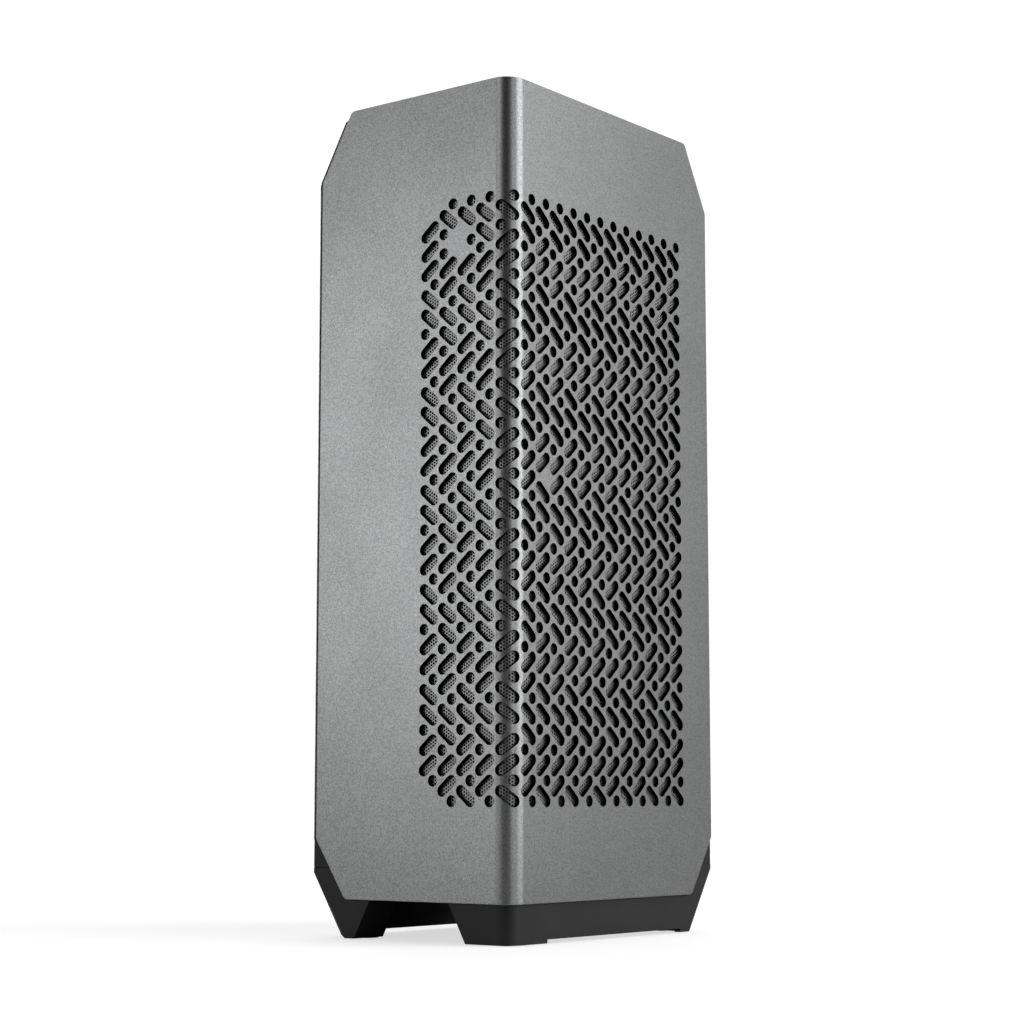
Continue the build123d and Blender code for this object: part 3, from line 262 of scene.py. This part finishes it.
# ---- the bent shells ----------------------------------------------------------------------------
low, high = (Vector(corner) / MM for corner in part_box("front_shell"))
LEFT, FRONT, SHELL_BOTTOM = low
WIDE_END, NARROW_END, SHELL_TOP = high
THICKNESS = 2.0
BEND_RADIUS = 11.5
RIM = 0.32
HOLE_RADIUS = 2.95
COLUMN_STEP = 6.55
ROW_STEP = 5.52
TOP_ROW_Z = 407.7
ROW_COUNT = 61
FIRST_COLUMN = -4
LAST_COLUMN = 12
WIDE_FIRST_LINE = 2.77
NARROW_FIRST_LINE = 4.70
ROW_PERIOD = 10
# Each column has a left and a right line of punch points. A slot joins neighbours one row apart, and the
# links repeat every ten rows, two rows later in each odd column.
COLUMN_LINKS = (
    (("left", 3),),
    (("left", 5), ("right", 4)),
    (("left", 7), ("right", 6)),
    (("right", 8),),
    (("left", 9), ("right", 10)),
    (("left", 11), ("right", 12)),
)
CORNER_SLOT = ((-8.5, 3), (-7.5, 2))
BLANK_POINTS = {
    (-8.5, 1), (-8.5, 3), (-8.5, 59), (-7.5, 0), (-7.5, 2), (-7.5, 60),
    (-5.5, 4), (-4.5, 3), (-4.5, 5), (4.5, 28),
}
BEND_LINES = (-1.038, 1.333)
TOP_CUT = (22.4, 39.5)
BOTTOM_CUT = (21.8, 33.1)
CUT_FILLET = 4.0
CUT_STEPS = 8
ARC_STEPS = 10
BEND_STEP = 0.6
LEVEL_STEP = 1.15
LOWEST_LEVEL = 1.3
HIGHEST_LEVEL = 1.0
POINT_CLEARANCE = 0.3
NEAR_BEND = 8.0


class Sheet:
    """A sheet bent round the tower's corner, laid flat as (along, z).

    along is measured on the sheet's outer face, from where the narrow face meets the bend.
    """

    def __init__(self, outer):
        self.outer = outer
        self.radius = BEND_RADIUS - outer
        self.arc = self.radius * pi / 2

    def from_line(self, line):
        """Distance along the sheet of a punch line."""
        if line <= BEND_LINES[0]:
            return BEND_RADIUS - NARROW_FIRST_LINE + COLUMN_STEP * line
        if line < BEND_LINES[1]:
            return self.arc * (line - BEND_LINES[0]) / (BEND_LINES[1] - BEND_LINES[0])
        return self.arc + WIDE_FIRST_LINE + COLUMN_STEP * line - BEND_RADIUS

    def axes(self, along):
        """Outward normals and directions of growing along, one row each."""
        angle = np.clip(along / self.radius, 0, pi / 2)
        zero = np.zeros_like(angle)
        return (
            np.stack((-np.cos(angle), -np.sin(angle), zero), axis=1),
            np.stack((np.sin(angle), -np.cos(angle), zero), axis=1),
        )

    def place(self, along, z, depth):
        """Points in millimetres, depth below the sheet's outer face."""
        outward, _ = self.axes(along)
        inside = np.stack((
            LEFT + BEND_RADIUS + np.maximum(along - self.arc, 0),
            FRONT + BEND_RADIUS + np.maximum(-along, 0),
            z,
        ), axis=1)
        return inside + outward * (self.radius - depth)[:, None]


def rounded_outline(corners, fillet, cuts):
    """Closed loop of (along, z, outward along, outward z) round a convex outline with rounded corners.

    Level sides get a point at each of the cuts too, so that they follow the bend.
    """
    loop = []
    count = len(corners)
    for i, corner in enumerate(corners):
        before, after = Vector(corners[i - 1]), Vector(corners[(i + 1) % count])
        here = Vector(corner)
        into, out = (here - before).normalized(), (after - here).normalized()
        turn = into.angle(out)
        start = here - into * fillet * tan(turn / 2)
        centre = start + Vector((-into.y, into.x)) * fillet
        first = atan2(start.y - centre.y, start.x - centre.x)
        for k in range(CUT_STEPS + 1):
            u = (cos(first + turn * k / CUT_STEPS), sin(first + turn * k / CUT_STEPS))
            loop.append((centre.x + fillet * u[0], centre.y + fillet * u[1], *u))
        if abs(out.y) < 1e-6:
            for x in sorted(cuts, reverse=out.x < 0):
                loop.append((x, loop[-1][1], 0.0, -out.x))
    return loop


def hole_loop(points, sheet):
    """Closed loop round a dot or slot, its normals pointing into the hole."""
    ends = [(sheet.from_line(line), TOP_ROW_Z - ROW_STEP * row) for line, row in points]
    (x0, z0), (x1, z1) = ends[0], ends[-1]
    run = hypot(x1 - x0, z1 - z0)
    heading = atan2(z1 - z0, x1 - x0) if run else 0.0
    on_bend = run and -1 < min(x0, x1) and max(x0, x1) < sheet.arc + 1
    loop = []
    for centre, first, way in (((x1, z1), heading - pi / 2, -1), ((x0, z0), heading + pi / 2, 1)):
        for k in range(ARC_STEPS + (1 if run else 0)):
            angle = first + pi * k / ARC_STEPS
            u = (cos(angle), sin(angle))
            loop.append((centre[0] + HOLE_RADIUS * u[0], centre[1] + HOLE_RADIUS * u[1], -u[0], -u[1]))
        if on_bend:
            side = loop[-1]
            steps = ceil(run / BEND_STEP)
            for k in range(1, steps):
                shift = way * run * k / steps
                loop.append((side[0] + shift * cos(heading), side[1] + shift * sin(heading), *side[2:]))
    return loop, ends


def punched_holes():
    """Every hole as its punch points (line, row): one for a dot, two for a slot."""
    holes = [CORNER_SLOT]
    for column in range(FIRST_COLUMN, LAST_COLUMN + 1):
        line = {"left": 2 * column - 0.5, "right": 2 * column + 0.5}
        for start in range(2 * (column % 2) - ROW_PERIOD, ROW_COUNT, ROW_PERIOD):
            for link in COLUMN_LINKS:
                points = [(line[side], start + row) for side, row in link]
                points = [p for p in points if 0 <= p[1] < ROW_COUNT and p not in BLANK_POINTS]
                if points:
                    holes.append(points)
    return holes


def shell_outline(sheet, columns):
    """The shell's outline, laid flat, as one closed loop."""
    left_end = -(NARROW_END - FRONT - BEND_RADIUS)
    right_end = sheet.arc + WIDE_END - LEFT - BEND_RADIUS
    return rounded_outline([
        (right_end - BOTTOM_CUT[0], SHELL_BOTTOM), (right_end, SHELL_BOTTOM + BOTTOM_CUT[1]),
        (right_end, SHELL_TOP - TOP_CUT[1]), (right_end - TOP_CUT[0], SHELL_TOP),
        (left_end + TOP_CUT[0], SHELL_TOP), (left_end, SHELL_TOP - TOP_CUT[1]),
        (left_end, SHELL_BOTTOM + BOTTOM_CUT[1]), (left_end + BOTTOM_CUT[0], SHELL_BOTTOM),
    ], CUT_FILLET, columns)


def bend_grid(sheet, columns, spines):
    """Points (along, z) that keep the bend round, clear of the holes whose spines are (x, z, x, z)."""
    lines = (-2 * BEND_STEP, *columns, sheet.arc + 2 * BEND_STEP)
    levels = np.arange(SHELL_BOTTOM + LOWEST_LEVEL, SHELL_TOP - HIGHEST_LEVEL, LEVEL_STEP)
    grid = np.array([(x, z) for x in lines for z in levels])
    spines = np.array([s for s in spines if -NEAR_BEND < s[0] < sheet.arc + NEAR_BEND])
    start, along = spines[:, :2], spines[:, 2:] - spines[:, :2]
    length = np.maximum((along ** 2).sum(axis=1), 1e-9)
    offset = grid[:, None, :] - start[None]
    share = np.clip((offset * along[None]).sum(axis=2) / length, 0, 1)
    distance = np.linalg.norm(offset - share[:, :, None] * along[None], axis=2).min(axis=1)
    return grid[distance > HOLE_RADIUS + RIM + POINT_CLEARANCE]


def triangulated(flat, faces):
    """Triangles of flat points inside the first of the faces and outside the others."""
    points, _, triangles, origin, _, owner = delaunay_2d_cdt(
        [Vector(p) for p in flat.tolist()], [], faces, 1, 1e-5, True)
    if len(points) != len(flat):
        raise RuntimeError("the sheet's loops cross")
    index = np.array([ids[0] for ids in origin])
    return index[np.array([t for t, ids in zip(triangles, owner) if set(ids) == {0}])]


def bent_shell():
    """The perforated shell: vertices in millimetres, faces, one normal for each face corner, and its rims.

    The outline and the holes are cut from a flat sheet, which also gets a grid of points where it bends.
    The flat triangles make the outer and inner face, and three rings of quads round each loop join them:
    two round the rim and one through the sheet's thickness.
    """
    sheet = Sheet(0.0)
    columns = np.linspace(0, sheet.arc, ceil(sheet.arc / BEND_STEP) + 1).tolist()
    loops, spines = [shell_outline(sheet, columns)], []
    for points in punched_holes():
        loop, ends = hole_loop(points, sheet)
        loops.append(loop)
        spines.append((*ends[0], *ends[-1]))
    grid = bend_grid(sheet, columns, spines)
    edge = np.array([point for loop in loops for point in loop])
    flat = np.concatenate((edge[:, :2] - edge[:, 2:] * RIM, grid))
    ends = np.cumsum([len(loop) for loop in loops]).tolist()
    faces = [list(range(end - len(loop), end)) for loop, end in zip(loops, ends)]
    triangles = triangulated(flat, faces)

    count, rim = len(flat), len(edge)
    side, growth = sheet.axes(edge[:, 0])
    lip = growth * edge[:, 2:3] + np.array([[0, 0, 1.0]]) * edge[:, 3:4]
    outward, _ = sheet.axes(flat[:, 0])
    half = RIM * (1 - sqrt(0.5))  # where a quarter circle's middle lies, in from both faces
    face_points = sheet.place(flat[:, 0], flat[:, 1], np.zeros(count))
    near = edge[:, :2] - edge[:, 2:] * half
    rings = [
        sheet.place(near[:, 0], near[:, 1], np.full(rim, half)),
        sheet.place(edge[:, 0], edge[:, 1], np.full(rim, RIM)),
        sheet.place(edge[:, 0], edge[:, 1], np.full(rim, THICKNESS)),
    ]
    back = sheet.place(grid[:, 0], grid[:, 1], np.full(len(grid), THICKNESS))
    vertices = np.concatenate((face_points, *rings, back))
    ring_at = [0, count, count + rim, count + 2 * rim]
    follow = np.concatenate([np.roll(np.arange(len(f)), -1) + f[0] for f in faces])
    this = np.arange(rim)
    ring_normals = [outward[:rim], (side + lip) / sqrt(2), lip, lip]
    quads, quad_normals = [], []
    for ring in range(3):
        a, b = ring_at[ring], ring_at[ring + 1]
        quads.append(np.stack((a + this, b + this, b + follow, a + follow), axis=1))
        upper, lower = ring_normals[ring], ring_normals[ring + 1]
        quad_normals.append(np.stack((upper, lower, lower[follow], upper[follow]), axis=1))
    rear = np.concatenate((ring_at[3] + this, count + 3 * rim + np.arange(len(grid))))
    inner = rear[triangles[:, ::-1]]
    quads = np.concatenate(quads)
    all_faces = triangles.tolist() + inner.tolist() + quads.tolist()
    normals = np.concatenate((
        outward[triangles].reshape(-1, 3), -outward[triangles[:, ::-1]].reshape(-1, 3),
        np.concatenate(quad_normals).reshape(-1, 3),
    ))
    # the rim rings, where the shell's material paints a highlight
    at_rim = np.zeros(len(vertices))
    at_rim[ring_at[1]:ring_at[3]] = 1.0
    return vertices, all_faces, normals, at_rim


def shell_mesh(name, vertices, faces, normals, at_rim, turn):
    """A mesh of the shell; turn is 1, or -1 for the half turn about Z."""
    spin = np.array([turn, turn, 1.0])
    mesh = bpy.data.meshes.new(name)
    mesh.from_pydata((vertices * spin * MM).tolist(), [], faces)
    mesh.polygons.foreach_set("use_smooth", np.ones(len(faces), dtype=bool))
    mesh.normals_split_custom_set((normals * spin).tolist())
    mesh.attributes.new(RIM_ATTRIBUTE, "FLOAT", "POINT").data.foreach_set("value", at_rim)
    return mesh


shell = bent_shell()
for name, turn in (("front_shell", 1), ("rear_shell", -1)):
    add_piece(name + "_pressed", shell_mesh(name + "_pressed", *shell, turn), name)


# ---- the dust meshes ----------------------------------------------------------------------------
MESH_DEPTH = 2.6
MESH_PITCH = 1.8
MESH_HOLE = 0.73
MESH_BORDER = 3.0
NET_INSET = 2.0
BORDER_SINK = 0.06
STRIP_STEP = 1.2
PART_COLUMNS = 52
SNAPS_PER_MM = 1000


def lattice(left, right, bottom, top):
    """Flat net of staggered holes in upright columns: points (along, z) and faces."""
    column_step = MESH_PITCH * sqrt(3) / 2
    columns = int((right - left) / column_step)
    cells = int((top - bottom) / MESH_PITCH) - 1
    column, cell = np.meshgrid(np.arange(columns), np.arange(cells), indexing="ij")
    x = left + column_step * (column + 0.5)
    z = bottom + MESH_PITCH * (cell + 0.5 + 0.5 * (column % 2))
    centre = np.stack((x.ravel(), z.ravel()), axis=1)
    angle = np.arange(6) * pi / 3
    ring = np.stack((np.cos(angle), np.sin(angle)), axis=1)
    outer = centre[:, None] + ring * MESH_PITCH / sqrt(3)
    inner = centre[:, None] + ring * MESH_HOLE
    everything = np.concatenate((outer.reshape(-1, 2), inner.reshape(-1, 2)))
    snapped = np.round(everything * SNAPS_PER_MM).astype(int)
    keys, index = np.unique(snapped, axis=0, return_inverse=True)
    index = index.ravel()
    count = len(centre) * 6
    here = np.arange(count)
    after = here // 6 * 6 + (here + 1) % 6
    faces = index[np.stack((here, after, count + after, count + here), axis=1)]
    return keys / SNAPS_PER_MM, faces


def strips(left, right, bottom, top, part):
    """Solid border round a net: points and faces of two level bands, and an upright one at an outer end."""
    bands = [(left, right, bottom, bottom + MESH_BORDER), (left, right, top - MESH_BORDER, top)]
    if part == 0:
        bands.append((left, left + MESH_BORDER, bottom + MESH_BORDER, top - MESH_BORDER))
    if part == 2:
        bands.append((right - MESH_BORDER, right, bottom + MESH_BORDER, top - MESH_BORDER))
    points, faces = [], []
    for x0, x1, z0, z1 in bands:
        cuts = np.linspace(x0, x1, ceil((x1 - x0) / STRIP_STEP) + 1)
        at = len(points)
        points += [(x, z) for x in cuts for z in (z0, z1)]
        faces += [(at + 2 * k, at + 2 * k + 2, at + 2 * k + 3, at + 2 * k + 1) for k in range(len(cuts) - 1)]
    return np.array(points), np.array(faces)


def dust_mesh(name, node, left, right, bottom, top, turn, part):
    """A perforated sheet between two places along the corner's bend; part 0 and 2 have an upright border."""
    sheet = Sheet(MESH_DEPTH)
    net, net_faces = lattice(left, right, bottom + NET_INSET, top - NET_INSET)
    band, band_faces = strips(left, right, bottom, top, part)
    points = np.concatenate((net, band))
    depth = np.concatenate((np.zeros(len(net)), np.full(len(band), BORDER_SINK)))
    vertices = sheet.place(points[:, 0], points[:, 1], depth) * np.array([turn, turn, 1.0]) * MM
    faces = net_faces.tolist() + (band_faces + len(net)).tolist()
    mesh = bpy.data.meshes.new(name)
    mesh.from_pydata(vertices.tolist(), [], faces)
    mesh.polygons.foreach_set("use_smooth", np.ones(len(faces), dtype=bool))
    add_piece(name, mesh, node)


low, high = (Vector(corner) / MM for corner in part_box("front_dust_mesh"))
mesh_left = -(high.y - FRONT - BEND_RADIUS)
mesh_right = Sheet(MESH_DEPTH).arc + high.x - LEFT - BEND_RADIUS
part_length = PART_COLUMNS * MESH_PITCH * sqrt(3) / 2
cuts = [mesh_left + k * part_length for k in range(3)] + [mesh_right]
for side, turn in (("front", 1), ("rear", -1)):
    node = side + "_dust_mesh"
    for k, name in enumerate(("narrow", "middle", "wide")):
        dust_mesh(f"{node}_{name}", node, cuts[k], cuts[k + 1], low.z, high.z, turn, k)

# ---- rounded copies of the frame, base and cap --------------------------------------------------
EDGE_WIDTHS = {
    "base": 0.5, "lower_frame": 0.35, "top_frame": 0.35, "corner_posts": 0.35, "top_cover": 0.45,
    "foot_pads": 0.3, "gpu_bracket": 0.2, "psu_case": 0.4, "mains_inlet": 0.3, "storage_drive": 0.3,
}
for node, width in EDGE_WIDTHS.items():
    softened(node, width * MM)

# ---- floor, light and camera --------------------------------------------------------------------
FLOOR_HALF = 8.0
FLOOR_GLOW = 0.66
floor_mesh = bpy.data.meshes.new("floor")
floor_corners = [(x * FLOOR_HALF, y * FLOOR_HALF, 0) for x, y in ((-1, -1), (1, -1), (1, 1), (-1, 1))]
floor_mesh.from_pydata(floor_corners, [], [(0, 1, 2, 3)])
floor = bpy.data.objects.new("floor", floor_mesh)
bpy.context.scene.collection.objects.link(floor)
floor_look = textured("floor", grey(0.40), grey(0.42), (0.75, 0.85), 0.0, 60, 1e-5, 4.0, specular=0.1)
floor_shader = floor_look.node_tree.nodes["Principled BSDF"]
floor_shader.inputs["Emission Color"].default_value = (1, 1, 1, 1)
glimpse = floor_look.node_tree.nodes.new("ShaderNodeLightPath")
lift = ramp(floor_look.node_tree, glimpse.outputs["Is Camera Ray"], 0.0, 1.0, 0.0, FLOOR_GLOW)
floor_look.node_tree.links.new(lift, floor_shader.inputs["Emission Strength"])
floor_mesh.materials.append(floor_look)

AMBIENT = 0.88
world = bpy.data.worlds.new("studio")
bpy.context.scene.world = world
world.use_nodes = True
sky = world.node_tree
direction = sky.nodes.new("ShaderNodeTexCoord").outputs["Generated"]


def rise(heading, toward, inner, outer, gain):
    """Light that rises smoothly to gain as heading comes from outer to inner degrees off toward."""
    dot = node_of(sky, "ShaderNodeVectorMath", operation="DOT_PRODUCT")
    dot.inputs[1].default_value = toward
    sky.links.new(heading, dot.inputs[0])
    low, high = cos(radians(outer)), cos(radians(inner))
    return ramp(sky, dot.outputs["Value"], low, high, 0.0, gain, "SMOOTHSTEP")


def compass(bearing, *reach_and_gain):
    """An upright panel of light around a compass bearing, at every height."""
    return rise(level, (cos(radians(bearing)), sin(radians(bearing)), 0), *reach_and_gain)


def lobe(bearing, elevation, *reach_and_gain):
    """A round lamp in one direction."""
    flat = cos(radians(elevation))
    toward = (flat * cos(radians(bearing)), flat * sin(radians(bearing)), sin(radians(elevation)))
    return rise(direction, toward, *reach_and_gain)


def joined(operation, first, second):
    """Two values, or a value and a number, added or multiplied."""
    node = node_of(sky, "ShaderNodeMath", operation=operation)
    sky.links.new(first, node.inputs[0])
    if isinstance(second, float):
        node.inputs[1].default_value = second
    else:
        sky.links.new(second, node.inputs[1])
    return node.outputs[0]


flatten = node_of(sky, "ShaderNodeVectorMath", operation="MULTIPLY")
flatten.inputs[1].default_value = (1, 1, 0)
sky.links.new(direction, flatten.inputs[0])
unit = node_of(sky, "ShaderNodeVectorMath", operation="NORMALIZE")
sky.links.new(flatten.outputs["Vector"], unit.inputs[0])
level = unit.outputs["Vector"]

# the key light, which gives the bend its highlight and the wide face its fall-off
glow = compass(299, 16, 29, 2.45)
for light in (
    compass(336, 4, 26, -0.8),  # darker towards the wide face's far edge
    compass(163, 5, 24, 0.6),  # the near side of the bend
    compass(137, 10, 33, -0.82),  # a dim wall across from the narrow face
    lobe(143, 8.5, 2, 14, 2.85),  # with a lamp on it, which lights the narrow face half way up
    lobe(143, 38, 12, 29, -0.5),
    lobe(250, 0, 6, 20, 1.2),  # a low lamp for the bottom of the bend
    compass(38, 25, 60, 0.2),  # fill from behind
):
    glow = joined("ADD", glow, light)
glow = joined("ADD", glow, AMBIENT)
# a black flag beside the camera, which draws the dark line down the bend
dark = joined("ADD", compass(214, 8, 40, -0.95), 1.0)
glow = joined("MULTIPLY", glow, dark)
# past the floor's edge the camera sees the same white as the floor
glow = joined("MAXIMUM", glow, sky.nodes.new("ShaderNodeLightPath").outputs["Is Camera Ray"])
sky.links.new(glow, sky.nodes["Background"].inputs["Strength"])
sky.nodes["Background"].inputs["Color"].default_value = (1, 1, 1, 1)

CAMERA_PLACE = (-1.0746, -0.8240, 0.07975)
CAMERA_AIM = (0.786246, 0.605720, 0.122146)
FOCAL_LENGTH = 80.885
camera_data = bpy.data.cameras.new("camera")
camera_data.lens = FOCAL_LENGTH
camera_data.sensor_width = 36
camera = bpy.data.objects.new("camera", camera_data)
bpy.context.scene.collection.objects.link(camera)
camera.location = CAMERA_PLACE
camera.rotation_euler = Vector(CAMERA_AIM).to_track_quat("-Z", "Y").to_euler()
bpy.context.scene.camera = camera
bpy.context.scene.view_settings.view_transform = "Standard"
